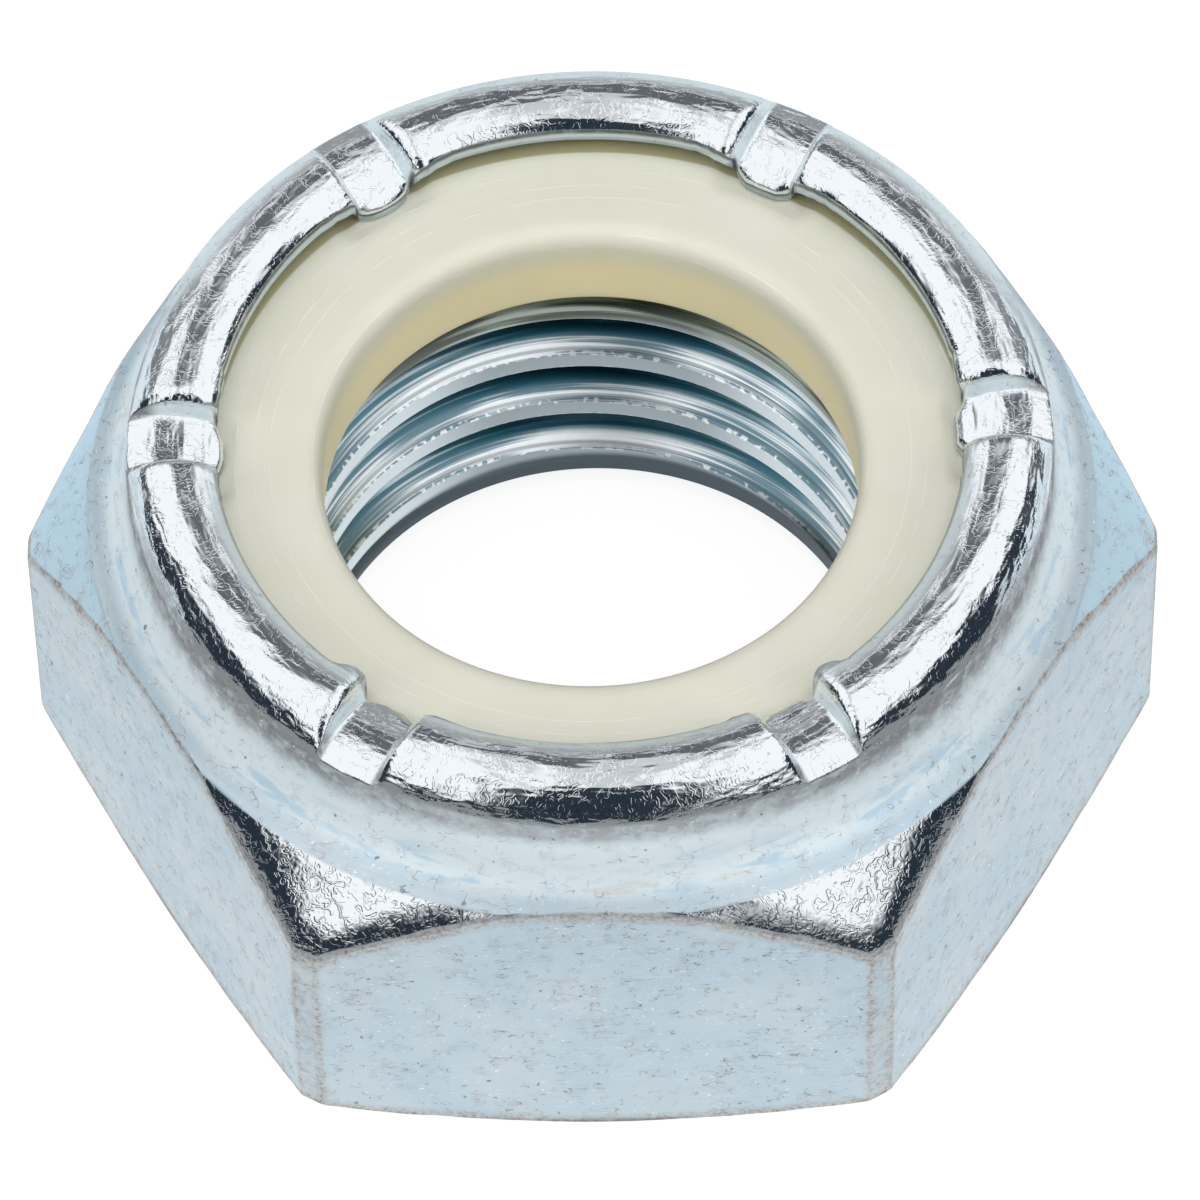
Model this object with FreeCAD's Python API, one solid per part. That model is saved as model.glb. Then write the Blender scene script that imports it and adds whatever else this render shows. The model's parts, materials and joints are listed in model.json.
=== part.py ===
import FreeCAD, Part
import math
import os

# Nylon insert lock nut with a rolled and staked collar, in millimetres.
# The origin is the middle of the bearing face, with +Z along the thread towards the insert.
# Two flats of the hexagon face -Y and +Y.

# Thread
thread_diameter = 16.0
thread_pitch = 2.0
countersink_margin = 0.1      # the countersinks open this much wider than the thread
countersink_angle = 30.0      # slope of both countersinks against the bearing face

# Hexagon
across_flats = 24.0
across_corners = 27.36        # the corners are turned down to this diameter
shoulder_drop = 0.78          # the flats' top edge lies above the insert seat by this much
top_chamfer_start = 0.14      # the top corner chamfer starts this far outside the flats
top_chamfer_angle = 48.0
bearing_margin = 0.2          # the bearing face ends this far inside the flats
bottom_chamfer_angle = 26.0

# Collar and rolled lip
collar_step = 0.9             # from a flat in to the collar's wall
collar_wall = 1.25
wall_straight = 0.15          # plain wall between the flare and the rolled lip
lip_bend_radius = 1.25        # outer radius of the rolled lip
lip_reach = 2.15              # from the collar's wall in to the lip's free edge
lip_edge_thickness = 0.5
lip_edge_bevel = 0.14
under_lip_bevel = 0.4         # where the lip's underside turns down into the recess wall
under_lip_drop = 0.35         # the underside falls this much from the free edge to the roll

# Stakes: the notches that are struck down through the lip
stake_angles = (3.0, 61.8, 124.0, 180.2, 238.8, 301.0)   # degrees round from +X, as struck
stake_floor_width = 1.45
stake_depth = 0.67            # from the crest of the lip down to the notch's floor
stake_wall_slope = 8.0        # degrees off upright
stake_edge_bevel = 0.2        # the lip falls away into each notch
bevel_inward = 75.0           # degrees of the lip's bend that are bevelled on each side of its crest
bevel_outward = 85.0
stake_reach = 0.15            # a staked strip reaches this much further in than the lip
stake_ramp = 0.5              # height of the curved ramp at a strip's inner end
stake_ramp_length = 0.45
stake_cheek = 0.33            # metal beside the notch's floor that is pushed down with it
stake_bite = 0.12             # how deep a stake's edge presses into the ring

# Nylon ring
seat_height = 8.55            # the shoulder that carries the ring
ring_height = 2.5
ring_bite = 0.47              # the ring's bore is smaller than the thread's by this much
ring_bore_round = 0.55
ring_shoulder_bevel = 0.6
ring_clearance = 0.02         # round the ring, inside its recess
lip_gap = 0.5                 # between the ring's top and the lip's free edge

overrun = 1.0                 # how far each cutter runs past the metal

# Worked out from the sizes above
MINOR_FACTOR = 1.0825         # basic minor diameter of a metric thread: diameter less this times pitch
flat_radius = across_flats / 2
corner_radius = across_corners / 2
thread_minor_radius = (thread_diameter - MINOR_FACTOR * thread_pitch) / 2
countersink_radius = thread_diameter / 2 + countersink_margin
countersink_depth = (countersink_radius - thread_minor_radius) * math.tan(math.radians(countersink_angle))
collar_radius = flat_radius - collar_step
recess_radius = collar_radius - collar_wall
ring_outer_radius = recess_radius - ring_clearance
ring_bore_radius = thread_minor_radius - ring_bite
ring_top = seat_height + ring_height
shoulder_height = seat_height + shoulder_drop
lip_edge_radius = collar_radius - lip_reach
lip_edge_low = ring_top + lip_gap
lip_edge_high = lip_edge_low + lip_edge_thickness
bend_centre_radius = collar_radius - lip_bend_radius
bend_centre_height = lip_edge_high - math.sqrt(
    lip_bend_radius**2 - (bend_centre_radius - lip_edge_radius)**2)
overall_height = bend_centre_height + lip_bend_radius
stake_floor_height = overall_height - stake_depth
stake_root = bend_centre_height - wall_straight   # a stake bends the collar above this height
stake_inner_radius = lip_edge_radius - stake_reach


def at(radius, height):
    """A point of a turned profile."""
    return FreeCAD.Vector(radius, 0, height)


def line(start, end):
    return Part.LineSegment(start, end).toShape()


def arc(start, middle, end):
    return Part.Arc(start, middle, end).toShape()


def eased(start, centre, end):
    """A quarter round in two flats, for an edge too small to need a true arc."""
    middle = centre + (start + end - centre * 2) * math.sqrt(0.5)
    return [line(start, middle), line(middle, end)]


def bend(centre, radius, first, last):
    """An arc of a profile from one angle to another, in degrees from +radius towards +Z."""
    points = []
    for angle in (first, (first + last) / 2, last):
        turn = math.radians(angle)
        points.append(centre + at(radius * math.cos(turn), radius * math.sin(turn)))
    return arc(*points)


def turned(edges):
    """The solid that a closed profile sweeps round the thread's axis."""
    face = Part.Face(Part.Wire(edges))
    return face.revolve(FreeCAD.Vector(0, 0, 0), FreeCAD.Vector(0, 0, 1), 360)


def flare_arc():
    """The hollow curve from the collar's wall out to the top of the flats, and its outer end."""
    top = bend_centre_height - wall_straight
    across = flat_radius - collar_radius
    down = top - shoulder_height
    radius = (across**2 + down**2) / (2 * across)
    centre = at(collar_radius + radius, top)
    end_radius = flat_radius + top_chamfer_start
    last = 180 + math.degrees(math.acos((centre.x - end_radius) / radius))
    edge = bend(centre, radius, last, 180)
    turn = math.radians(last)
    return edge, centre + at(radius * math.cos(turn), radius * math.sin(turn))


def lip_outside():
    """The rolled lip from the collar's wall over its crest to its free edge."""
    centre = at(bend_centre_radius, bend_centre_height)
    reach = bend_centre_radius - lip_edge_radius
    last = 180 - math.degrees(math.acos(reach / lip_bend_radius))
    return bend(centre, lip_bend_radius, 0, last)


def lip_inside():
    """The lip's free edge and its underside, down to the wall of the recess."""
    edge_top = at(lip_edge_radius, lip_edge_high)
    edge_low = at(lip_edge_radius, lip_edge_low + lip_edge_bevel)
    under_edge = at(lip_edge_radius + lip_edge_bevel, lip_edge_low)
    inner_turn = at(recess_radius - under_lip_bevel, lip_edge_low - under_lip_drop)
    outer_turn = at(recess_radius, inner_turn.z - under_lip_bevel)
    edges = [line(edge_top, edge_low), line(edge_low, under_edge), line(under_edge, inner_turn),
             line(inner_turn, outer_turn)]
    return edges, outer_turn


def turned_body():
    """The nut without its flats and stakes, as a lathe would leave it."""
    bearing_radius = flat_radius - bearing_margin
    bottom_rise = (corner_radius - bearing_radius) * math.tan(math.radians(bottom_chamfer_angle))
    flare, flare_end = flare_arc()
    top_fall = (corner_radius - flare_end.x) * math.tan(math.radians(top_chamfer_angle))
    inside, turn_end = lip_inside()
    wall_top = at(collar_radius, bend_centre_height)
    flare_top = at(collar_radius, bend_centre_height - wall_straight)
    corner_low = at(corner_radius, bottom_rise)
    corner_high = at(corner_radius, flare_end.z - top_fall)
    countersink_top = at(countersink_radius, seat_height)
    bore_top = at(thread_minor_radius, seat_height - countersink_depth)
    bore_low = at(thread_minor_radius, countersink_depth)
    edges = [
        line(at(countersink_radius, 0), at(bearing_radius, 0)),
        line(at(bearing_radius, 0), corner_low),
        line(corner_low, corner_high),
        line(corner_high, flare_end),
        flare,
        line(flare_top, wall_top),
        lip_outside(),
        *inside,
        line(turn_end, at(recess_radius, seat_height)),
        line(at(recess_radius, seat_height), countersink_top),
        line(countersink_top, bore_top),
        line(bore_top, bore_low),
        line(bore_low, at(countersink_radius, 0)),
    ]
    return turned(edges)


def hexagon():
    """The six flats, higher than the nut."""
    sharp_radius = flat_radius / math.cos(math.radians(30))
    corners = []
    for k in range(7):
        turn = math.radians(60 * k)
        corners.append(FreeCAD.Vector(sharp_radius * math.cos(turn), sharp_radius * math.sin(turn), 0))
    return Part.Face(Part.makePolygon(corners)).extrude(FreeCAD.Vector(0, 0, overall_height + overrun))


def across_prism(outline, inner, outer):
    """A prism along +X whose section is given as pairs of Y and Z."""
    points = [FreeCAD.Vector(inner, y, z) for y, z in outline]
    return Part.Face(Part.makePolygon(points + points[:1])).extrude(FreeCAD.Vector(outer - inner, 0, 0))


def notch_channel():
    """A channel with a level floor and sloping walls, along +X."""
    half = stake_floor_width / 2
    top = overall_height + overrun
    spread = (top - stake_floor_height) * math.tan(math.radians(stake_wall_slope))
    outline = [(-half, stake_root), (half, stake_root), (half, stake_floor_height),
               (half + spread, top), (-half - spread, top), (-half, stake_floor_height)]
    return across_prism(outline, stake_inner_radius - overrun, collar_radius + overrun)


def notch_bevel():
    """A wheel that bevels both top edges of the channel, turned about the lip's own bend."""
    inner_half = stake_floor_width / 2 + stake_depth * math.tan(math.radians(stake_wall_slope))
    outer_half = inner_half + stake_edge_bevel
    inner_rim = lip_bend_radius - stake_edge_bevel
    outer_rim = lip_bend_radius + stake_edge_bevel
    axle = at(bend_centre_radius, bend_centre_height)
    across = FreeCAD.Vector(0, 1, 0)
    outline = [(-inner_half, inner_rim), (inner_half, inner_rim), (outer_half, lip_bend_radius),
               (outer_half, outer_rim), (-outer_half, outer_rim), (-outer_half, lip_bend_radius)]
    points = [axle + FreeCAD.Vector(0, sideways, distance) for sideways, distance in outline]
    section = Part.Face(Part.makePolygon(points + points[:1]))
    wheel = section.revolve(axle, across, bevel_inward + bevel_outward)
    wheel.rotate(axle, across, -bevel_inward)
    return wheel


def staked_ring():
    """A turned ring with the section of a pushed-down strip: a level floor, then a ramp to the ring."""
    under = ring_top - stake_bite
    ramp_start = at(stake_inner_radius + stake_ramp_length, stake_floor_height)
    ramp_end = at(stake_inner_radius, stake_floor_height - stake_ramp)
    corners = [ramp_end, at(stake_inner_radius, under), at(recess_radius, under),
               at(recess_radius, stake_root), at(collar_radius, stake_root),
               at(collar_radius, stake_floor_height), ramp_start]
    edges = [line(start, end) for start, end in zip(corners, corners[1:])]
    return turned(edges + eased(ramp_start, at(ramp_start.x, ramp_end.z), ramp_end))


def staked_strip():
    """The metal that one stake has pushed down, along +X, with a cheek at each side of its inner end."""
    low = ring_top - stake_bite - overrun
    strips = []
    for half, outer in ((stake_floor_width / 2, collar_radius + overrun),
                        (stake_floor_width / 2 + stake_cheek, bend_centre_radius)):
        outline = [(-half, low), (half, low), (half, overall_height), (-half, overall_height)]
        strips.append(across_prism(outline, stake_inner_radius - overrun, outer))
    return staked_ring().common(strips[0].fuse(strips[1]))


def turned_by(shape, degrees):
    copy = shape.copy()
    copy.rotate(FreeCAD.Vector(0, 0, 0), FreeCAD.Vector(0, 0, 1), degrees)
    return copy


def nut_body():
    body = turned_body().common(hexagon())
    tool = notch_channel().fuse(notch_bevel())
    strip = staked_strip()
    body = body.cut([turned_by(tool, angle) for angle in stake_angles])
    return body.fuse([turned_by(strip, angle) for angle in stake_angles]).removeSplitter()


def nylon_ring(body):
    """The moulded ring, with the dents that the stakes press into its shoulder."""
    bore_low = at(ring_bore_radius, seat_height)
    bore_top = at(ring_bore_radius, ring_top - ring_bore_round)
    face_inner = at(ring_bore_radius + ring_bore_round, ring_top)
    face_outer = at(ring_outer_radius - ring_shoulder_bevel, ring_top)
    wall_top = at(ring_outer_radius, ring_top - ring_shoulder_bevel)
    wall_low = at(ring_outer_radius, seat_height)
    ring = turned([
        line(bore_low, bore_top),
        *eased(bore_top, at(face_inner.x, bore_top.z), face_inner),
        line(face_inner, face_outer),
        line(face_outer, wall_top),
        line(wall_top, wall_low),
        line(wall_low, bore_low),
    ])
    return ring.cut(body)


def main():
    os.makedirs("parts", exist_ok=True)
    body = nut_body()
    ring = nylon_ring(body)
    body.exportStep("parts/nut_body.step")
    ring.exportStep("parts/nylon_ring.step")


main()
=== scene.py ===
import json
import math

import bmesh
import bpy
import numpy as np
from mathutils import Matrix, Vector


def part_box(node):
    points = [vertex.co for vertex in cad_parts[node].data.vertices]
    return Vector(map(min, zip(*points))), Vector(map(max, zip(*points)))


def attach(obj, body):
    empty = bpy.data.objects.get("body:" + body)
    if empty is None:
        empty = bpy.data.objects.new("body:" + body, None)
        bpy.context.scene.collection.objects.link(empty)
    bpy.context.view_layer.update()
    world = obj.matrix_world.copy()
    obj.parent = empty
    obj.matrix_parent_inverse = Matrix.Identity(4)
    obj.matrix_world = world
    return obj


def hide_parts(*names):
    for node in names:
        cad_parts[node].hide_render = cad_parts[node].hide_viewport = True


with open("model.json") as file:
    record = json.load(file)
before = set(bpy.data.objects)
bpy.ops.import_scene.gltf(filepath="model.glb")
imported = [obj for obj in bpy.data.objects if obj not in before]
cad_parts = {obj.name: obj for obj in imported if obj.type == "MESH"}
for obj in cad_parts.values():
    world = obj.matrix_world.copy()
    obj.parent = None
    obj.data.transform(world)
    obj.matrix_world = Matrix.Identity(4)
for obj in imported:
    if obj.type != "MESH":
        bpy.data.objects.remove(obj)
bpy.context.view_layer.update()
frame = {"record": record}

# The nut is worked out in millimetres and written in metres.
MM = 0.001


# Sizes from the frame

def frame_sizes():
    """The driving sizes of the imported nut, in millimetres."""
    body_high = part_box("nut_body")[1]
    ring_low, ring_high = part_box("nylon_ring")
    bores = {mount["name"]: mount["dims"] for mount in frame["record"]["mounts"]}
    return {
        "flat": body_high[1] / MM,
        "corner": body_high[0] / MM,
        "height": body_high[2] / MM,
        "seat": ring_low[2] / MM,
        "ring_top": ring_high[2] / MM,
        "ring_outer": ring_high[0] / MM,
        "minor": bores["thread"]["r_mm"],
        "ring_bore": bores["locking_bore"]["r_mm"],
    }


SIZE = frame_sizes()

# Hexagon and its chamfers
BEARING_MARGIN = 0.2          # the bearing face ends this far inside the flats
BEARING_RINGS = (8.6, 10.0, 11.3)    # radii of the rows on the bearing face
BOTTOM_CHAMFER = math.tan(math.radians(26))
TOP_CHAMFER = math.tan(math.radians(48))
TOP_CHAMFER_START = 0.14
SHOULDER_DROP = 0.78
CHAMFER_ROLL = 0.55           # width over which a corner chamfer rolls over towards the flats
CHAMFER_ROLL_DROP = 0.2
CORNER_STRIP = 1.31           # half of each corner's turned strip, in degrees
FACE_EDGE_ROUND = 0.22
FOOT_ROUND = 0.16
LOW_EDGE_ROUND = 0.14
TOP_EDGE_ROUND = 0.09

# The corner chamfers at 0, 60, ... degrees
CHAMFER_POLISH = (0.05, 1, 1, 0.05, 1, 1)
CHAMFER_BLUE = (1, 0, 0, 1, 0, 0)

# Collar and lip
COLLAR_RADIUS = SIZE["flat"] - 0.9
RECESS_RADIUS = COLLAR_RADIUS - 1.25
RECESS_TOP = (RECESS_RADIUS, SIZE["ring_top"] - 0.25)
LIP_BEND = 1.25
LIP_REACH = 2.15
LIP_WAVE = 0.02
WALL_STRAIGHT = 0.15
RIBBON_WIDTH = 0.42           # the lip's free edge, seen as a narrow upright ribbon
BEND_CENTRE = (COLLAR_RADIUS - LIP_BEND, SIZE["height"] - LIP_BEND)
LIP_EDGE_RADIUS = COLLAR_RADIUS - LIP_REACH
LIP_LAST_ANGLE = 180 - math.degrees(math.acos((BEND_CENTRE[0] - LIP_EDGE_RADIUS) / LIP_BEND))

# Stakes
STAKE_ANGLES = (3.0, 61.8, 124.0, 180.2, 238.8, 301.0)
STAKE_DEPTH = 0.67
FLOOR_HALF = 0.70
MOUTH_HALF = 0.82
MOUTH_ROUND = 0.33
STRIP_INNER = LIP_EDGE_RADIUS - 0.18
STRIP_ROUND = 0.3             # how far the strip's inner corners are rounded back
FLOOR_HEIGHT = SIZE["height"] - STAKE_DEPTH
STRIP_END_HEIGHT = FLOOR_HEIGHT - 0.5
# How far the lip's edge bulges inward beside each stake, on its clockwise and its other side
EARS = ((0.04, 0.04), (0.06, 0.12), (0.12, 0.06), (0.04, 0.04), (0.26, 0.05), (0.05, 0.26))

# Thread: 16 mm, right-handed
PITCH = 2.0
ROOT_RADIUS = 8.0
COUNTERSINK_RADIUS = 8.1
COUNTERSINK_SLOPE = math.tan(math.radians(30))
COUNTERSINK_DEPTH = (COUNTERSINK_RADIUS - SIZE["minor"]) * COUNTERSINK_SLOPE


# Curves in a section, as points of radius and height

def straight(start, end, steps):
    """Points from start to end, with the start left out."""
    share = (np.arange(steps) + 1) / steps
    return [np.array(start) * (1 - s) + np.array(end) * s for s in share]


def curved(start, corner, end, steps):
    """Points round a corner, with the start left out."""
    start, corner, end = np.array(start), np.array(corner), np.array(end)
    share = (np.arange(steps) + 1) / steps
    return [start * (1 - s) ** 2 + corner * 2 * s * (1 - s) + end * s**2 for s in share]


def soft_min(a, b, blend):
    """The smaller of two values, with the step between them rounded."""
    share = np.clip(0.5 + 0.5 * (b - a) / blend, 0, 1)
    return b * (1 - share) + a * share - blend * share * (1 - share)


def soft_max(a, b, blend):
    """The larger of two values, with the step between them rounded."""
    return -soft_min(-a, -b, blend)


def soft_step(value, low, high):
    """0 below low and 1 above high, eased in between."""
    share = np.clip((value - low) / (high - low), 0, 1)
    return share * share * (3 - 2 * share)


def wander(angle, seed, waves):
    """A slow, repeatable wobble round the nut, between about -1 and 1."""
    draws = np.random.default_rng(seed)
    total = np.zeros_like(angle)
    for wave in waves:
        total += np.sin(wave * angle + draws.uniform(0, 2 * math.pi)) * draws.uniform(0.6, 1.0)
    return total / len(waves) ** 0.5


# Columns: each stake has one middle column and HALF more on each side of it

def stake_section():
    """Half a stake's cross-section: distance from its middle line, and share of the whole depth."""
    points = [(0, 1), (0.2, 1), (0.4, 1), (0.56, 1), (0.65, 0.993), (FLOOR_HALF, 0.963),
              (0.725, 0.91), (0.745, 0.83), (0.765, 0.73), (0.785, 0.63), (0.80, 0.56)]
    for turn in np.radians((0, 15, 30, 45, 60, 75, 90)):
        across = MOUTH_HALF + MOUTH_ROUND * (1 - math.cos(turn))
        points.append((across, MOUTH_ROUND / STAKE_DEPTH * (1 - math.sin(turn))))
    points += [(across, 0) for across in (1.27, 1.42, 1.6, 1.8, 2.05, 2.35)]
    return np.array(points)


STAKE_SECTION = stake_section()
NEAR = len(STAKE_SECTION) - 1
HALF = 47
# Degrees from a corner of the hexagon to each column, closest together at the edges of its strip
CORNER_STEPS = np.concatenate([
    (0, 0.45, 0.9, 1.15, 1.25, CORNER_STRIP, 1.37, 1.5, 1.75, 2.1, 2.6, 3.2),
    np.linspace(3.9, 30, HALF - 11)])


class Columns:
    """The places of all columns round the nut, for its hexagon and for its lip."""

    def __init__(self):
        steps = np.concatenate([np.arange(-HALF, 0), np.arange(0, HALF)])
        self.index = np.tile(np.abs(steps), 6)
        self.side = np.tile(np.sign(steps), 6)
        self.stake = np.repeat(np.arange(6), len(steps))
        self.hexagon = np.radians(60 * self.stake + self.side * CORNER_STEPS[self.index])
        stakes = np.array(STAKE_ANGLES)
        after = (np.roll(stakes, -1) - stakes) % 360 / 2
        before = (stakes - np.roll(stakes, 1)) % 360 / 2
        self.middle = np.radians(stakes)[self.stake]
        self.reach = np.radians(np.where(self.side > 0, after[self.stake], before[self.stake]))
        near = np.minimum(self.index, NEAR)
        self.across = STAKE_SECTION[near, 0]
        self.depth = STAKE_SECTION[near, 1]
        self.far_share = np.clip((self.index - NEAR) / (HALF - NEAR), 0, 1)

    def lip(self, radius):
        """Angles on the lip, where the columns beside a stake run parallel to it."""
        parallel = 1 - soft_step(self.across, 1.6, 2.35)
        away = np.arcsin(self.across / (radius * parallel + BEND_CENTRE[0] * (1 - parallel)))
        away = away * (1 - self.far_share) + self.reach * self.far_share
        return self.middle + self.side * away

    def __len__(self):
        return len(self.index)


COLUMNS = Columns()


# The outside of the body, in rows from the bearing face up over the lip and down to the ring's seat

class Rows:
    """Rows of points on a surface, with how polished, worn and blue it is there, and where dark
    shade is painted on it.
    """

    def __init__(self):
        self.angle, self.radius, self.height = [], [], []
        self.measures = {"polish": [], "wear": [], "grime": [], "blue": []}

    def add(self, angle, point, polish=0.0, wear=0.0, grime=0.0, blue=0.0):
        """A row round the whole nut, where each number may also change from column to column."""
        whole = np.ones(len(COLUMNS))
        self.angle.append(angle * whole)
        self.radius.append(point[0] * whole)
        self.height.append(point[1] * whole)
        given = {"polish": polish, "wear": wear, "grime": grime, "blue": blue}
        for name, value in given.items():
            self.measures[name].append(value * whole)


def flare_size():
    """The hollow curve between the flats and the collar: its centre, its radius and its top."""
    top = BEND_CENTRE[1] - WALL_STRAIGHT
    across = SIZE["flat"] - COLLAR_RADIUS
    down = top - SIZE["seat"] - SHOULDER_DROP
    radius = (across**2 + down**2) / (2 * across)
    return COLLAR_RADIUS + radius, top, radius


FLARE_RADIUS_CENTRE, FLARE_TOP, FLARE_ROUND = flare_size()


def flare_height(radius):
    """Height of the flare at a radius."""
    fall = np.sqrt(np.maximum(FLARE_ROUND**2 - (FLARE_RADIUS_CENTRE - radius) ** 2, 0))
    return FLARE_TOP - fall


def shoulder_height(radius):
    """Height of the flare and, outside it, of the corner chamfers."""
    start = SIZE["flat"] + TOP_CHAMFER_START
    flare = flare_height(radius)
    chamfer = flare_height(start) - (radius - start) * TOP_CHAMFER
    return np.where(radius < SIZE["flat"] - 0.2, flare, soft_min(chamfer, flare, 0.03))


def chamfer_height(radius, reach):
    """Height of the flare and the corner chamfers, which roll over towards the flats."""
    rolled = np.clip((radius - reach + CHAMFER_ROLL) / CHAMFER_ROLL, 0, 1)
    on_corner = soft_step(reach - SIZE["flat"], 0.15, 0.6)
    return shoulder_height(radius) - CHAMFER_ROLL_DROP * on_corner * rolled**2


def hexagon_rows(rows):
    """Bearing face, bottom chamfer, flats, corner chamfers and the lower flare."""
    angle = COLUMNS.hexagon
    from_flat = np.mod(np.degrees(angle), 60) - 30
    reach = soft_min(SIZE["flat"] / np.cos(np.radians(from_flat)), SIZE["corner"], 0.05)
    bearing = SIZE["flat"] - BEARING_MARGIN
    uneven = 1 + 0.3 * wander(angle, 3, (17, 29, 43, 71))
    strip = 1 - soft_step(SIZE["corner"] - reach, 0.0, 0.06)
    strip_edge = np.exp(-((np.abs(30 - np.abs(from_flat)) - CORNER_STRIP) / 0.4) ** 2)

    for radius in BEARING_RINGS:
        rows.add(angle, (radius, 0))
    foot = np.minimum(FOOT_ROUND * uneven, 0.45 * (reach - bearing))
    face_edge = np.array([bearing - FACE_EDGE_ROUND * uneven, 0 * angle])
    chamfer_foot = np.array([bearing + foot, foot * BOTTOM_CHAMFER])
    rows.add(angle, face_edge)
    for point in curved(face_edge, np.array([bearing + 0 * angle, 0 * angle]), chamfer_foot, 3):
        rows.add(angle, point, wear=0.7)
    low_corner = np.array([reach, (reach - bearing) * BOTTOM_CHAMFER])
    ease = np.minimum(LOW_EDGE_ROUND * uneven, 0.4 * (reach - bearing))
    before = low_corner - np.array([ease, ease * BOTTOM_CHAMFER])
    after = low_corner + np.array([0 * ease, ease])
    for point in straight(chamfer_foot, before, 4):
        rows.add(angle, point, wear=0.45)
    for point in curved(before, low_corner, after, 4):
        rows.add(angle, point, wear=0.9)

    top_corner = np.array([reach, chamfer_height(reach, reach)])
    ease = TOP_EDGE_ROUND * uneven
    before = top_corner - np.array([0 * ease, ease])
    for share in (0.04, 0.3, 0.7, 0.96):
        rows.add(angle, after * (1 - share) + before * share, wear=0.3 * strip + 0.5 * strip_edge)
    rows.add(angle, before, wear=0.75 + 0.15 * strip)
    on_chamfer = soft_step(reach - SIZE["flat"], 0.09, 0.17)
    polish = on_chamfer * np.array(CHAMFER_POLISH)[COLUMNS.stake]
    blue = on_chamfer * np.array(CHAMFER_BLUE)[COLUMNS.stake]
    after_radius = reach - 0.7 * ease
    after = np.array([after_radius, chamfer_height(after_radius, reach)])
    for point in curved(before, top_corner, after, 3):
        rows.add(angle, point, wear=0.85, polish=0.3 * polish)
    flare_start = np.minimum(SIZE["flat"] + TOP_CHAMFER_START, after_radius)
    for share in (0.03, 0.09, 0.16, 0.24, 0.35, 0.5, 0.66, 0.82, 0.97):
        radius = after_radius * (1 - share) + flare_start * share
        rows.add(angle, (radius, chamfer_height(radius, reach)), polish=polish, blue=blue)
    lowest = np.arcsin(np.clip((FLARE_RADIUS_CENTRE - flare_start) / FLARE_ROUND, 0, 1))
    for share in (0.015, 0.05, *(step / 12 for step in range(1, 13))):
        turn = lowest + (math.pi / 2 - lowest) * share
        radius = FLARE_RADIUS_CENTRE - FLARE_ROUND * np.sin(turn)
        height = FLARE_TOP - FLARE_ROUND * np.cos(turn)
        slid = angle * (1 - share) + COLUMNS.lip(COLLAR_RADIUS) * share
        rows.add(slid, (radius, height))


# The lip's bend at each row, in degrees up from the collar's wall
LIP_ANGLES = (0, 6, 12, 17, 20, 23, 26, 29, 32, 38, 45, 52, 60, 68, 76, 84, 92, 100, 106, 112,
              116, 120, 124, 127.5, 131)


def lip_section():
    """The rolled lip between stakes, from the collar's wall to the recess."""
    points = []
    for turn in np.radians(LIP_ANGLES):
        points.append(np.array([BEND_CENTRE[0] + LIP_BEND * math.cos(turn),
                                BEND_CENTRE[1] + LIP_BEND * math.sin(turn)]))
    last = math.radians(LIP_LAST_ANGLE)
    edge_top = (LIP_EDGE_RADIUS, BEND_CENTRE[1] + LIP_BEND * math.sin(last))
    edge_low = (LIP_EDGE_RADIUS, edge_top[1] - RIBBON_WIDTH)
    under = (LIP_EDGE_RADIUS + 0.16, edge_low[1] - 0.08)
    roll = (RECESS_RADIUS - 0.4, under[1] - 0.33)
    points += curved(points[-1], edge_top, (edge_top[0], edge_top[1] - 0.07), 3)
    points += straight(points[-1], (edge_low[0], edge_low[1] + 0.07), 3)
    points += curved(points[-1], edge_low, under, 3)
    points += straight(points[-1], roll, 3)
    points += curved(points[-1], (RECESS_RADIUS, roll[1]), RECESS_TOP, 3)
    return points


def struck_section():
    """The same rows where a stake has pushed the lip down on to the ring."""
    wall_low = (COLLAR_RADIUS, BEND_CENTRE[1])
    wall_high = (COLLAR_RADIUS, FLOOR_HEIGHT - 0.24)
    rim = (COLLAR_RADIUS, FLOOR_HEIGHT - 0.13)
    facet = (COLLAR_RADIUS - 0.10, FLOOR_HEIGHT - 0.10)
    crown = (COLLAR_RADIUS - 0.42, FLOOR_HEIGHT + 0.03)
    floor_end = (LIP_EDGE_RADIUS + 0.42, FLOOR_HEIGHT - 0.12)
    ramp_foot = (STRIP_INNER + 0.01, STRIP_END_HEIGHT + 0.06)
    ring_top = SIZE["ring_top"]
    bite = ring_top - 0.1
    points = [np.array(wall_low)]
    points += straight(wall_low, wall_high, 3)
    points += curved(wall_high, rim, facet, 4)
    points += straight(facet, crown, 3)
    points += curved(crown, (COLLAR_RADIUS - 1.0, FLOOR_HEIGHT + 0.22), floor_end, 8)
    points += curved(floor_end, (STRIP_INNER + 0.1, FLOOR_HEIGHT - 0.23), ramp_foot, 6)
    points += straight(points[-1], (STRIP_INNER, STRIP_END_HEIGHT - 0.04), 3)
    points += straight(points[-1], (STRIP_INNER, ring_top + 0.02), 3)
    points += curved(points[-1], (STRIP_INNER, bite), (STRIP_INNER + 0.1, bite), 3)
    points += straight(points[-1], (RECESS_RADIUS - 0.4, ring_top - 0.12), 3)
    points += curved(points[-1], (RECESS_RADIUS, ring_top - 0.14), RECESS_TOP, 3)
    return points


def ear_reach():
    """How far the lip's edge bulges inward at each column."""
    ears = np.array(EARS)[COLUMNS.stake, (COLUMNS.side > 0).astype(int)]
    rise = soft_step(COLUMNS.across, 0.68, 0.95)
    fall = 1 - soft_step(COLUMNS.across, 1.15, 1.8)
    return ears * rise * fall


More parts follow.
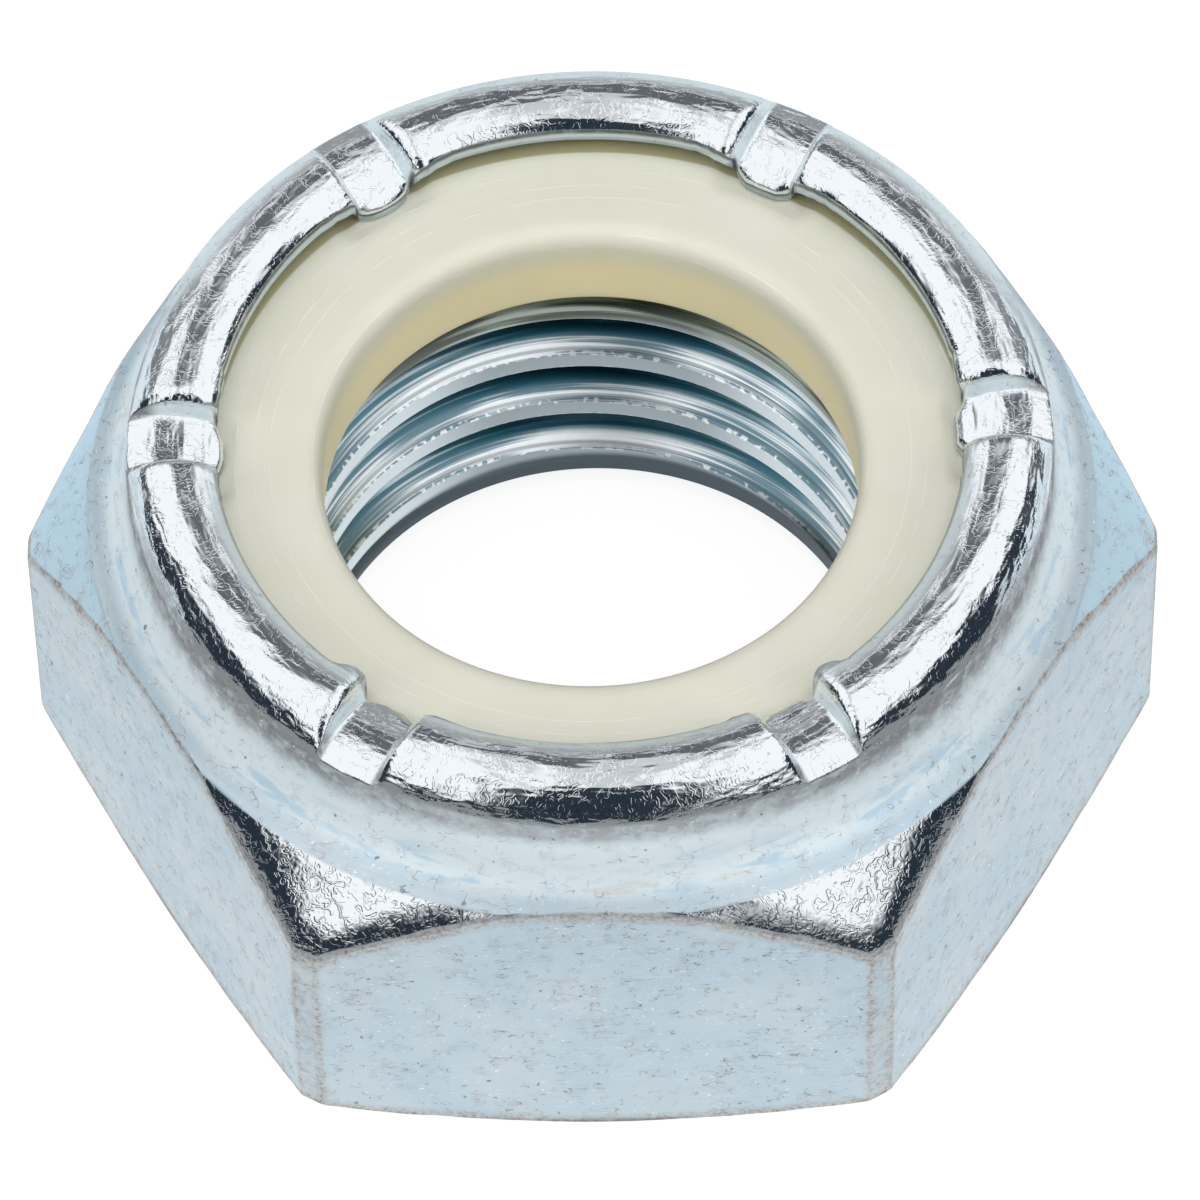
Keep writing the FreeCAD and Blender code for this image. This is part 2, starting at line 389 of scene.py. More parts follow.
def lip_rows(rows):
    """Collar wall, lip with its stakes, underside and recess."""
    ears = ear_reach()
    depth = COLUMNS.depth
    wave = LIP_WAVE * wander(COLUMNS.middle + COLUMNS.across, 5, (7, 11, 19))
    corner_round = depth * STRIP_ROUND * soft_step(COLUMNS.across, 0.3, 0.95)
    sheared = soft_step(depth, 0.25, 0.45) * (1 - soft_step(depth, 0.955, 0.985))
    crevice = soft_step(depth, 0.3, 0.5) * (1 - soft_step(depth, 0.8, 0.95))
    backward = np.sin(COLUMNS.lip(BEND_CENTRE[0]))
    behind = soft_step(backward, 0.0, 0.5)
    in_front = 1 - soft_step(backward, -0.25, 0.15)
    last = len(LIP_ANGLES)
    for number, (plain, struck) in enumerate(zip(lip_section(), struck_section())):
        point = np.outer(plain, 1 - depth) + np.outer(struck, depth)
        inward = soft_step(number, last - 8, last) * (1 - soft_step(number, last + 10, last + 14))
        point[0] -= inward * (ears + wave)
        point[0] += inward * corner_round
        duller = 0.7 * soft_step(number, last - 7.5, last - 3) * (1 - depth) * in_front
        rolled = soft_step(number - 9 * behind * (1 - depth), 2.5, 5)
        polish = (rolled - duller) * (1 - 0.85 * sheared) if number <= last else 0.0
        # Painted shade: a dark line along the top of the lip's free edge for a dark reflection, and
        # shade in the crevices beside each stake.
        edge_dark_line = 0.75 if number in (last + 1, last + 2) else 0.0
        grime = np.maximum(edge_dark_line, 0.9 * crevice * soft_step(number, last - 3, last))
        rows.add(COLUMNS.lip(point[0]), point, polish=polish, grime=grime)
    rows.add(COLUMNS.lip(RECESS_RADIUS), (RECESS_RADIUS, SIZE["seat"] + 0.3))
    rows.add(COLUMNS.lip(RECESS_RADIUS), (RECESS_RADIUS, SIZE["seat"]))


# The bore: rows follow the thread's helix

# Rows over one crest and its groove, as distances along the axis from the middle of the crest
THREAD_STEPS = (-1.0, -0.875, -0.82, -0.7, -0.55, -0.4, -0.3, -0.25, -0.19,
                0.0, 0.19, 0.25, 0.3, 0.4, 0.55, 0.7, 0.82, 0.875)
BORE_COLUMNS = 288
THREAD_PHASE = 0.8            # height of a crest at angle 0, above a whole number of pitches
THREAD_FADE = (0.95, 1.5)     # heights where the groove runs out
THREAD_FLANK = math.tan(math.radians(30))
CREST_ROUND = 0.05
ROOT_ROUND = 0.08


def thread_radius(from_crest):
    """Radius of the thread at a distance along its axis from the middle of a crest."""
    away = np.abs((from_crest + PITCH / 2) % PITCH - PITCH / 2)
    flank = SIZE["minor"] + (away - PITCH / 8) / THREAD_FLANK
    return soft_min(soft_max(flank, SIZE["minor"], CREST_ROUND), ROOT_RADIUS, ROOT_ROUND)


def bore_points():
    """Points of the threaded bore, one list of rows for each column."""
    per_turn = len(THREAD_STEPS)
    row_count = math.ceil((SIZE["seat"] + 2 * PITCH) / PITCH) * per_turn + 1
    row = np.arange(row_count)
    along = (row // per_turn - 2) * PITCH + np.array(THREAD_STEPS)[row % per_turn] + THREAD_PHASE
    angle = np.arange(BORE_COLUMNS) / BORE_COLUMNS * 2 * math.pi
    climb = angle[:, None] / (2 * math.pi) * PITCH
    height = along[None, :] + climb
    radius = thread_radius(height - THREAD_PHASE - climb)
    height = np.clip(height, COUNTERSINK_DEPTH, SIZE["seat"])
    radius = SIZE["minor"] + (radius - SIZE["minor"]) * soft_step(height, *THREAD_FADE)
    countersink = COUNTERSINK_RADIUS - (SIZE["seat"] - height) / COUNTERSINK_SLOPE
    radius = soft_max(radius, countersink, 0.03)
    radius = np.where(height >= SIZE["seat"], COUNTERSINK_RADIUS, radius)
    x, y = radius * np.cos(angle[:, None]), radius * np.sin(angle[:, None])
    return np.stack([x, y, height], axis=2)


# Meshes

SAME_POINT = 0.002            # points closer together than this are joined
SHARP_ANGLE = 42


def grid_faces(columns, rows):
    """Faces of a closed band of points, kept row by row."""
    faces = []
    for row in range(rows - 1):
        for column in range(columns):
            beside = (column + 1) % columns
            low, high = row * columns, (row + 1) * columns
            faces.append((low + column, low + beside, high + beside, high + column))
    return faces


def flat_ring(outer, inner, outer_angles, inner_angles):
    """Triangles between two loops of points in one plane, each sorted by angle."""
    faces = []
    i = j = 0
    while i < len(outer) or j < len(inner):
        next_outer = outer_angles[i + 1] if i + 1 < len(outer) else outer_angles[0] + 2 * math.pi
        next_inner = inner_angles[j + 1] if j + 1 < len(inner) else inner_angles[0] + 2 * math.pi
        a, b = outer[i % len(outer)], inner[j % len(inner)]
        if j >= len(inner) or (i < len(outer) and next_outer <= next_inner):
            faces.append((a, outer[(i + 1) % len(outer)], b))
            i += 1
        else:
            faces.append((a, inner[(j + 1) % len(inner)], b))
            j += 1
    return faces


def in_scene(name, data):
    """A new object that holds a mesh, a lamp or a camera."""
    made = bpy.data.objects.new(name, data)
    bpy.context.scene.collection.objects.link(made)
    return made


def new_piece(name, points, faces, measures):
    """A closed mesh piece that rides on the nut. Measures are numbers kept at each point."""
    mesh = bpy.data.meshes.new(name)
    mesh.from_pydata((points * MM).tolist(), [], faces)
    for measure, values in measures.items():
        layer = mesh.attributes.new(measure, "FLOAT", "POINT")
        layer.data.foreach_set("value", np.asarray(values, dtype=np.float32))
    work = bmesh.new()
    work.from_mesh(mesh)
    bmesh.ops.remove_doubles(work, verts=work.verts, dist=SAME_POINT * MM)
    bmesh.ops.recalc_face_normals(work, faces=work.faces)
    work.to_mesh(mesh)
    work.free()
    mesh.shade_smooth()
    mesh.set_sharp_from_angle(angle=math.radians(SHARP_ANGLE))
    piece = in_scene(name, mesh)
    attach(piece, "root")
    return piece


def bore_faces(start, columns, rows):
    """Faces of the bore. Its last column meets the first one a turn of the thread higher."""
    faces = []
    per_turn = len(THREAD_STEPS)
    for column in range(columns):
        last = column == columns - 1
        here = start + column * rows
        beside = start + per_turn if last else here + rows
        for row in range(rows - 1 - (per_turn if last else 0)):
            faces.append((here + row, here + row + 1, beside + row + 1, beside + row))
    return faces


BORE_POLISH = 0.9


def plated_body():
    """The nut body with its thread, in place of the plain solid."""
    rows = Rows()
    hexagon_rows(rows)
    lip_rows(rows)
    angle, radius, height = (np.array(part) for part in (rows.angle, rows.radius, rows.height))
    outside = np.stack([radius * np.cos(angle), radius * np.sin(angle), height], axis=2)
    row_count, column_count = angle.shape
    bore = bore_points()
    bore_columns, bore_rows = bore.shape[:2]
    bore_angles = np.arange(bore_columns) / bore_columns * 2 * math.pi
    round_foot = [np.cos(bore_angles), np.sin(bore_angles), 0 * bore_angles]
    foot = COUNTERSINK_RADIUS * np.stack(round_foot, axis=1)
    points = np.concatenate([outside.reshape(-1, 3), bore.reshape(-1, 3), foot])
    start = row_count * column_count

    faces = grid_faces(column_count, row_count) + bore_faces(start, bore_columns, bore_rows)
    bore_low = [start + column * bore_rows for column in range(bore_columns)]
    bore_high = [point + bore_rows - 1 for point in bore_low]
    foot_loop = [start + bore_columns * bore_rows + column for column in range(bore_columns)]
    for column in range(bore_columns):
        beside = (column + 1) % bore_columns
        faces.append((foot_loop[column], bore_low[column], bore_low[beside], foot_loop[beside]))
    for outer_row, inner in ((0, foot_loop), (row_count - 1, bore_high)):
        turned = np.mod(angle[outer_row], 2 * math.pi)
        order = np.argsort(turned)
        outer = (outer_row * column_count + order).tolist()
        faces += flat_ring(outer, inner, turned[order], bore_angles)

    bore_size = bore_columns * (bore_rows + 1)
    measures = {}
    for name, values in rows.measures.items():
        in_bore = np.full(bore_size, BORE_POLISH if name == "polish" else 0.0)
        measures[name] = np.concatenate([np.ravel(values), in_bore])
    body = new_piece("plated_body", points, faces, measures)
    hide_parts("nut_body")
    return body


RING_COLUMNS = 480
RING_BORE_ROUND = 0.6
RING_SHOULDER = 0.75
RING_FOOT_ROUND = 0.12
RING_FOOT_EDGE = 0.1
RING_WAVE = 0.012
DENT_DEPTH = 0.13
DENT_FADE = (0.9, 1.5)        # how far from its middle a dent fades out, round the ring


def ring_profile():
    """The ring's section, from the edge of its bore up over the top and down to its outer foot."""
    inner, outer, seat, top = SIZE["ring_bore"], SIZE["ring_outer"], SIZE["seat"], SIZE["ring_top"]
    points = [np.array((inner + RING_FOOT_ROUND, seat))]
    points += curved(points[-1], (inner, seat), (inner, seat + RING_FOOT_ROUND), 3)
    points += straight(points[-1], (inner, top - RING_BORE_ROUND), 8)
    points += curved(points[-1], (inner, top), (inner + RING_BORE_ROUND, top), 8)
    points += straight(points[-1], (outer - RING_SHOULDER, top), 12)
    points += curved(points[-1], (outer, top), (outer, top - RING_SHOULDER), 5)
    points += straight(points[-1], (outer, seat + RING_FOOT_EDGE), 3)
    points += curved(points[-1], (outer, seat), (outer - RING_FOOT_EDGE, seat), 2)
    return points


def locking_ring():
    """The nylon ring, with a dent under each stake."""
    angle = np.arange(RING_COLUMNS) / RING_COLUMNS * 2 * math.pi
    top = SIZE["ring_top"]
    dent = np.zeros(RING_COLUMNS)
    for middle in np.radians(STAKE_ANGLES):
        away = np.abs((angle - middle + math.pi) % (2 * math.pi) - math.pi) * LIP_EDGE_RADIUS
        dent = np.maximum(dent, 1 - soft_step(away, *DENT_FADE))
    wave = RING_WAVE * wander(angle, 9, (3, 5, 8))
    profile = ring_profile()
    points = []
    for radius, height in profile:
        pressed = DENT_DEPTH * dent * soft_step(radius, STRIP_INNER - 0.35, STRIP_INNER + 0.05)
        pressed = pressed * soft_step(height, top - 0.5, top)
        level = height - pressed + wave * soft_step(height, top - 0.4, top)
        points.append(np.stack([radius * np.cos(angle), radius * np.sin(angle), level], axis=1))
    points = np.concatenate(points)
    faces = grid_faces(RING_COLUMNS, len(profile))
    last = (len(profile) - 1) * RING_COLUMNS
    for column in range(RING_COLUMNS):
        beside = (column + 1) % RING_COLUMNS
        faces.append((last + column, last + beside, beside, column))
    ring = new_piece("locking_ring", points, faces, {})
    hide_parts("nylon_ring")
    return ring


# Finishes: shader maths is written as ordinary expressions

class Value:
    """A number or colour that changes over a surface. Arithmetic on it adds the nodes for it."""

    def __init__(self, finish, socket):
        self.finish, self.socket = finish, socket

    def __add__(self, other):
        return self.finish.maths("ADD", self, other)

    def __sub__(self, other):
        return self.finish.maths("SUBTRACT", self, other)

    def __rsub__(self, other):
        return self.finish.maths("SUBTRACT", other, self)

    def __mul__(self, other):
        return self.finish.maths("MULTIPLY", self, other)

    __radd__ = __add__
    __rmul__ = __mul__


class Finish:
    """The nodes of one material, or of the room's light."""

    def __init__(self, owner):
        owner.use_nodes = True
        self.tree = owner.node_tree
        self.tree.nodes.clear()

    def node(self, kind, settings=None, inputs=None, output=0):
        """Adds a node, sets its settings and then its sockets, and returns one of its outputs."""
        made = self.tree.nodes.new(kind)
        for name, value in (settings or {}).items():
            setattr(made, name, value)
        for name, value in (inputs or {}).items():
            if isinstance(value, Value):
                self.tree.links.new(value.socket, made.inputs[name])
            else:
                made.inputs[name].default_value = value
        return Value(self, made.outputs[output]) if len(made.outputs) else None

    def maths(self, operation, first, second=0.0):
        """A Math node on one or two numbers."""
        return self.node("ShaderNodeMath", {"operation": operation}, {0: first, 1: second})

    def place(self):
        """Position on the piece, in millimetres."""
        metres = self.node("ShaderNodeTexCoord", output="Object")
        return self.scaled(metres, 1 / MM)

    def scaled(self, vector, factor):
        return self.node("ShaderNodeVectorMath", {"operation": "SCALE"},
                         {0: vector, "Scale": factor})

    def stretched(self, place, factors):
        """Places drawn out or squeezed along each axis."""
        return self.node("ShaderNodeVectorMath", {"operation": "MULTIPLY"}, {0: place, 1: factors})

    def turned(self, place, degrees):
        """Places turned about the three axes."""
        angles = tuple(math.radians(d) for d in degrees)
        return self.node("ShaderNodeVectorRotate", {"rotation_type": "EULER_XYZ"},
                         {"Vector": place, "Rotation": angles})

    def normalised(self, vector):
        return self.node("ShaderNodeVectorMath", {"operation": "NORMALIZE"}, {0: vector})

    def length(self, vector):
        return self.node("ShaderNodeVectorMath", {"operation": "LENGTH"}, {0: vector}, "Value")

    def from_axis(self, place):
        """Distance of a place from the thread's axis."""
        return self.length(self.stretched(place, (1.0, 1.0, 0.0)))

    def noise(self, place, scale, detail=0.0, roughness=0.5):
        """Cloudy noise around 0.5. More detail is finer and slower."""
        return self.node("ShaderNodeTexNoise", None, {
            "Vector": place, "Scale": scale, "Detail": detail, "Roughness": roughness})

    def between(self, value, low, high, to_low=0.0, to_high=1.0):
        """Value from low to high, eased into the range from to_low to to_high."""
        return self.node("ShaderNodeMapRange", {"interpolation_type": "SMOOTHSTEP"},
                         {0: value, 1: low, 2: high, 3: to_low, 4: to_high})

    def band(self, value, rise, fall):
        """1 between a rise and a fall, each given as where it starts and ends."""
        return self.between(value, *rise) * self.between(value, *fall)

    def kept(self, name):
        """A number that the mesh keeps at each of its points."""
        return self.node("ShaderNodeAttribute", {"attribute_name": name}, output="Fac")

    def mixed(self, share, first, second):
        """A colour between two colours."""
        return self.node("ShaderNodeMix", {"data_type": "RGBA"}, {0: share, 6: first, 7: second}, 2)

    def layered(self, base, layers):
        """A colour with others laid over it in turn, each of them by its share."""
        for share, over in layers:
            base = self.mixed(share, base, over)
        return base

    def mixed_shaders(self, share, first, second):
        return self.node("ShaderNodeMixShader", None, {0: share, 1: first, 2: second})

    def combined(self, x, y, z):
        return self.node("ShaderNodeCombineXYZ", None, {0: x, 1: y, 2: z})

    def parts(self, vector, output):
        """One of a vector's parts, named X, Y or Z."""
        return self.node("ShaderNodeSeparateXYZ", None, {0: vector}, output)

    def bump(self, height):
        """Bent surface direction from a height in millimetres."""
        return self.node("ShaderNodeBump", None,
                         {"Strength": 1.0, "Distance": MM, "Height": height})


def colour(red, green, blue):
    """The linear values that a shader takes, from a colour as it is seen, from 0 to 255."""
    linear = []
    for seen in (red / 255, green / 255, blue / 255):
        linear.append(seen / 12.92 if seen <= 0.04045 else ((seen + 0.055) / 1.055) ** 2.4)
    return (*linear, 1.0)


WHITE = (1, 1, 1, 1)
LIP_MIDDLE = 10.0             # radius at which a drawn-out pattern keeps its fineness


def round_the_nut(f, place, along, across):
    """Places for a pattern drawn out round the axis, from its fineness along and across."""
    flat_place = f.stretched(place, (1.0, 1.0, 0.0))
    spread = (f.length(flat_place) - LIP_MIDDLE) * across + LIP_MIDDLE * along
    upright = f.stretched(place, (0.0, 0.0, across))
    return f.node("ShaderNodeVectorMath", {"operation": "ADD"}, {
        0: f.scaled(f.normalised(flat_place), spread), 1: upright})


def hairs(f, pattern, width):
    """Fine lines where a pattern crosses its middle value."""
    off_line = f.maths("ABSOLUTE", pattern - 0.5)
    return 1 - f.between(off_line, width * 0.3, width)


def tap_lines(f, place, radius):
    """Streaks that the tap has left along the thread."""
    x, y, z = (f.parts(place, axis) for axis in "XYZ")
    round_thread = f.maths("ARCTAN2", y, x)
    off_crest = (z - THREAD_PHASE) * (2 * math.pi / PITCH) - round_thread
    forward = f.maths("COSINE", off_crest) * 1.2 + x * 0.12
    sideways = f.maths("SINE", off_crest) * 1.2 + y * 0.12
    return f.noise(f.combined(radius * 9.0, forward, sideways), 1.0, 3.0, 0.65)


# Where one finish passes into the next: radii for each border, then heights
BORE_BORDER = (COUNTERSINK_RADIUS + 0.1, COUNTERSINK_RADIUS + 0.4)
LIP_EDGE_BORDER = (LIP_EDGE_RADIUS + 0.12, LIP_EDGE_RADIUS + 0.05)
RING_SHADE_BORDER = (LIP_EDGE_RADIUS + 0.05, LIP_EDGE_RADIUS + 0.13)
LIP_SHADE_BORDER = (10.2, 10.8)
COLLAR_BORDER = (SIZE["flat"] - 0.5, SIZE["flat"] - 0.05)
CHAMFER_BORDER = (SIZE["flat"] - 0.1, SIZE["flat"] + 0.2)
LIP_SHADE_LOW, LIP_SHADE_HIGH = 10.7, 11.35
FLARE_TINT_RISE, FLARE_TINT_FALL = (7.9, 8.5), (10.6, 9.6)


def satin_zinc(f, place, radius, height, mottle):
    """Zinc from the bath: satin, crazed, scratched and worn at the edges, with painted shade under
    the lip at the front, in the crevices by the stakes, along the lip's free edge and at the bottom
    edge.
    """
    wear, grime = f.kept("wear"), f.kept("grime")
    collar = 1 - f.between(radius, *COLLAR_BORDER)
    cloud = f.between(f.noise(place, 0.35, 2.0, 0.6), 0.35, 0.65)
    grain = f.noise(place, 9.0, 1.0, 0.6)
    level = f.noise(f.stretched(place, (0.5, 0.5, 9.0)), 1.0, 2.0, 0.7)
    crazing = f.noise(f.stretched(f.turned(place, (12, 9, 0)), (2.1, 2.1, 4.8)), 1.0, 1.0)
    drawn = f.noise(round_the_nut(f, place, 0.25, 2.6), 1.0, 2.0, 0.6)
    scratch = f.between(level, 0.58, 0.72)
    cracks = hairs(f, crazing, 0.013) * f.between(mottle, 0.49, 0.55) * (1 - collar * 0.4)
    glints = hairs(f, crazing + 0.09, 0.016) * f.between(grain, 0.54, 0.62)
    pits = f.between(f.noise(place, 4.2, 1.0), 0.75, 0.80)
    patches = f.between(mottle, 0.50, 0.75) * (0.5 - collar * 0.25)

    flare = f.band(height, FLARE_TINT_RISE, FLARE_TINT_FALL) * collar
    blue_tint = f.between(drawn, 0.52, 0.66) * flare * 0.7
    warm_tint = f.between(drawn, 0.40, 0.32) * flare * 0.5
    beside = f.between(f.maths("ABSOLUTE", f.parts(place, "X")), 2.0, 7.0)
    front = f.between(f.parts(place, "Y"), 6.0, 1.0)
    # Painted shade: a dark band on the front half of the collar just under the lip, wider and
    # stronger away from the middle.
    lip_shade = f.between(height, LIP_SHADE_LOW - beside * 0.45, LIP_SHADE_HIGH)
    lip_shade = lip_shade * f.between(mottle, 0.30, 0.62, 0.6, 1.0)
    lip_shade = lip_shade * f.between(radius, *LIP_SHADE_BORDER) * front

    worn = f.mixed(f.between(grain, 0.35, 0.7), colour(200, 196, 191), colour(138, 129, 121))
    # Worn edges, with painted shade: the worn colour is painted darker along the bottom edge, where
    # the nut meets the table.
    worn = f.mixed(f.between(height, 0.45, 0.15), worn, colour(112, 108, 104))
    worn_share = wear * f.between(mottle, 0.30, 0.60, 0.4, 1.0)
    lip_edge = f.between(radius, *LIP_EDGE_BORDER) * f.between(drawn, 0.35, 0.6, 0.4, 0.9)
    # Painted shade from the mesh: dark in the crevices beside the stakes, and a dark reflection
    # line along the top of the lip's free edge.
    dark_share = grime * f.between(mottle, 0.25, 0.55, 0.6, 1.0)

    base = f.layered(f.mixed(cloud, colour(189, 210, 222), colour(200, 215, 223)), (
        (collar * 0.95, colour(236, 250, 255)),
        (f.kept("blue") * 0.9, colour(206, 236, 252)),
        (blue_tint, colour(176, 212, 236)),
        (warm_tint, colour(222, 216, 206)),
        (lip_shade * (0.6 + beside * 0.3), colour(112, 112, 117)),
        (patches, colour(188, 192, 196)),
        (scratch * 0.3, colour(230, 238, 242)),
        (glints * 0.8, colour(250, 252, 253)),
        (cracks * 0.65, colour(96, 98, 98)),
        (pits * 0.7, colour(90, 92, 90)),
        (worn_share, worn),
        (lip_edge, colour(150, 162, 164)),
        (dark_share, colour(52, 50, 44))))
    rough = 0.46 + (mottle - 0.5) * 0.25 + wear * 0.08
    return f.node("ShaderNodeBsdfPrincipled", None, {
        "Base Color": base, "Metallic": 0.45 - collar * 0.12, "Roughness": rough,
        "Normal": f.bump((mottle - 0.5) * 0.012)})


def rolled_zinc(f, place, radius, mottle):
    """Zinc burnished by the rolling tool: a mirror with swells, ridges and fine curled lines."""
    corner = f.between(radius, *CHAMFER_BORDER)
    swell = f.noise(round_the_nut(f, place, 0.7, 1.8), 1.0)
    ridges = f.noise(round_the_nut(f, place, 1.2, 4.6), 1.0, 1.0, 0.6)
    worms = hairs(f, mottle, 0.05) + hairs(f, mottle + 0.09, 0.045)
    marks = hairs(f, mottle + 0.05, 0.012) * f.between(ridges, 0.46, 0.56)
    on_lip = (swell - 0.5) * 0.055 + (ridges - 0.5) * 0.034 + worms * 0.002
    on_corner = worms * 0.0025 + (mottle - 0.5) * 0.02
    base = f.mixed(marks * 0.45, colour(236, 241, 245), colour(120, 128, 136))
    rough = (0.09 + f.between(mottle, 0.4, 0.8) * 0.09) * (1 - corner * 0.45)
    return f.node("ShaderNodeBsdfPrincipled", None, {
        "Base Color": base, "Metallic": 1.0, "Roughness": rough,
        "Normal": f.bump(on_lip * (1 - corner) + on_corner * corner)})


# Radii of the bands across the thread, from its crests out to its roots, then heights at its ends
CREST_FACE = (6.96, 6.93)
CREST_EDGE_RISE, CREST_EDGE_FALL = (7.04, 6.96), (6.92, 6.935)
# The band beside each crest and the band in the roots are painted shade.
CREST_SHADE_RISE, CREST_SHADE_FALL = (7.0, 7.04), (7.13, 7.08)
ROOT_SHADE_BORDER = (7.2, 7.46)
LOW_THREAD_END = (1.5, 1.2)
TOP_THREAD_END = (6.8, 7.3)


def tapped_zinc(f, place, radius, height):
    """The cut thread: bright flanks streaked along the tap's lines, with painted highlight patches;
    grey crests with a glinting edge; painted shade in the roots and beside each crest; and roots
    and crests painted darker in the middle of the bore.
    """
    cloud = f.noise(f.stretched(place, (0.3, 0.3, 0.9)), 1.0, 1.0)
    # Streaks follow the tap's lines; the slow cloud in them adds painted highlight patches.
    streaks = tap_lines(f, place, radius) + cloud * 0.6 - 0.3
    grain = f.noise(place, 7.0)
    # Painted shade: the roots and crests are painted darker in the middle of the bore, where its
    # far wall faces the camera.
    middle = f.between(f.maths("ABSOLUTE", f.parts(place, "X")), 5.0, 2.2)
    glints = f.band(radius, CREST_EDGE_RISE, CREST_EDGE_FALL) * f.between(grain, 0.50, 0.64)
    # Painted shade: a thin dark line beside each crest, where the thread has no groove.
    groove = f.band(radius, CREST_SHADE_RISE, CREST_SHADE_FALL)
    low_end = f.between(height, *LOW_THREAD_END)

    def streaked(low, high, dull, bright):
        return f.mixed(f.between(streaks, low, high), colour(*dull), colour(*bright))

    flank = streaked(0.36, 0.56, (112, 140, 152), (244, 250, 253))
    # Painted shade in the roots: dark teal, lighter at the sides of the bore.
    side_root_shade = streaked(0.42, 0.62, (74, 116, 132), (206, 226, 234))
    middle_root_shade = streaked(0.46, 0.70, (38, 88, 104), (96, 140, 156))
    top_turn = streaked(0.45, 0.65, (76, 84, 76), (156, 166, 158))
    base = f.layered(flank, (
        (f.between(radius, *ROOT_SHADE_BORDER), f.mixed(middle, side_root_shade, middle_root_shade)),
        (groove * 0.5, colour(60, 88, 100)),
        (f.between(radius, *CREST_FACE),
         f.mixed(middle, colour(206, 218, 224), colour(150, 162, 168))),
        (glints * 0.9, colour(244, 249, 252)),
        (low_end, colour(76, 88, 96)),
        (f.between(height, *TOP_THREAD_END), top_turn)))
    return f.node("ShaderNodeBsdfPrincipled", None, {
        "Base Color": base, "Metallic": 1.0, "Roughness": 0.22 + low_end * 0.2 + grain * 0.06})


def zinc_plating():
    """Bright zinc on steel: satin, a mirror where the metal was rolled, and cut by the tap."""
    material = bpy.data.materials.new("zinc_plating")
    f = Finish(material)
    place = f.place()
    radius, height = f.from_axis(place), f.parts(place, "Z")
    mottle = f.noise(place, 2.2, 2.0, 0.7)
    satin = satin_zinc(f, place, radius, height, mottle)
    rolled = rolled_zinc(f, place, radius, mottle)
    outside = f.mixed_shaders(f.kept("polish"), satin, rolled)
    in_bore = 1 - f.between(radius, *BORE_BORDER)
    surface = f.mixed_shaders(in_bore, outside, tapped_zinc(f, place, radius, height))
    f.node("ShaderNodeOutputMaterial", None, {"Surface": surface})
    return material


def cream_nylon():
    """Moulded nylon: cream, with fine turned scratches, a warm glow painted deeper in the bore for
    light through the nylon, and painted shade under the lip's edge.
    """
    material = bpy.data.materials.new("cream_nylon")
    f = Finish(material)
    place = f.place()
    radius, height = f.from_axis(place), f.parts(place, "Z")
    cloud = f.noise(place, 0.5, 1.0, 0.6)
    grain = f.noise(place, 14.0)
    turning = f.combined(radius * 9.0, height * 4.0, cloud * 2.0)
    rings = f.between(f.noise(turning, 1.0, 2.0, 0.7), 0.6, 0.75)
    # Painted light: the bore is painted warmer and lighter lower down, a glow standing in for light
    # through the nylon.
    bore_glow = f.between(height, SIZE["ring_top"] - 0.05, SIZE["ring_top"] - 1.5)
    base = f.layered(f.mixed(cloud, colour(229, 228, 214), colour(221, 220, 203)), (
        (bore_glow, colour(252, 240, 190)),
        # Painted shade in the gap under the lip's edge.
        (f.between(radius, *RING_SHADE_BORDER), colour(176, 168, 132)),
        (rings * 0.6, colour(244, 244, 236))))
    rough = 0.42 + (grain - 0.5) * 0.15 + rings * 0.1
    relief = rings * 0.006 + (grain - 0.5) * 0.004 + (cloud - 0.5) * 0.05
    surface = f.node("ShaderNodeBsdfPrincipled", None, {
        "Base Color": base, "Roughness": rough, "Normal": f.bump(relief), "IOR": 1.53})
    f.node("ShaderNodeOutputMaterial", None, {"Surface": surface})
    return material


# Set: a pale table in a white tent with dark gaps, which only the metal's reflections show

TABLE_HALF = 1.5              # metres, as all sizes of the set are
TENT_RADIUS = 0.25


def seen_rays(f):
    """1 for rays that show the background: to the camera, off metal or through a clear thing."""
    camera, glossy, through = (f.node("ShaderNodeLightPath", output=name) for name in
                               ("Is Camera Ray", "Is Glossy Ray", "Is Transmission Ray"))
    return f.maths("MINIMUM", camera + glossy + through, 1.0)


def white_table():
    """The table's paper: white to the camera, and darker to the metal away from the nut."""
    material = bpy.data.materials.new("white_table")
    f = Finish(material)
    place = f.place()
    glossy = f.node("ShaderNodeLightPath", output="Is Glossy Ray")
    far = f.between(f.length(place), 18.0, 30.0) * glossy
    behind = f.between(f.parts(place, "Y"), -10.0, 25.0)
    light = f.node("ShaderNodeEmission", None, {
        "Color": f.mixed(far, WHITE, (0.84, 0.97, 1.04, 1)),
        "Strength": 0.88 - far * (0.84 - behind * 0.65)})
    paper = f.node("ShaderNodeBsdfDiffuse", None, {"Color": (0.25, 0.25, 0.25, 1)})
    seen = f.node("ShaderNodeAddShader", None, {0: paper, 1: light})
    plain = f.node("ShaderNodeBsdfDiffuse", None, {"Color": (0.8, 0.8, 0.8, 1)})
    surface = f.mixed_shaders(seen_rays(f), plain, seen)
    f.node("ShaderNodeOutputMaterial", None, {"Surface": surface})
    return material


def table_top():
    """The flat table that the nut stands on."""
    half = TABLE_HALF
    mesh = bpy.data.meshes.new("table_top")
    mesh.from_pydata([(-half, -half, 0), (half, -half, 0), (half, half, 0), (-half, half, 0)], [],
                     [(0, 1, 2, 3)])
    mesh.materials.append(white_table())
    table = in_scene("table_top", mesh)


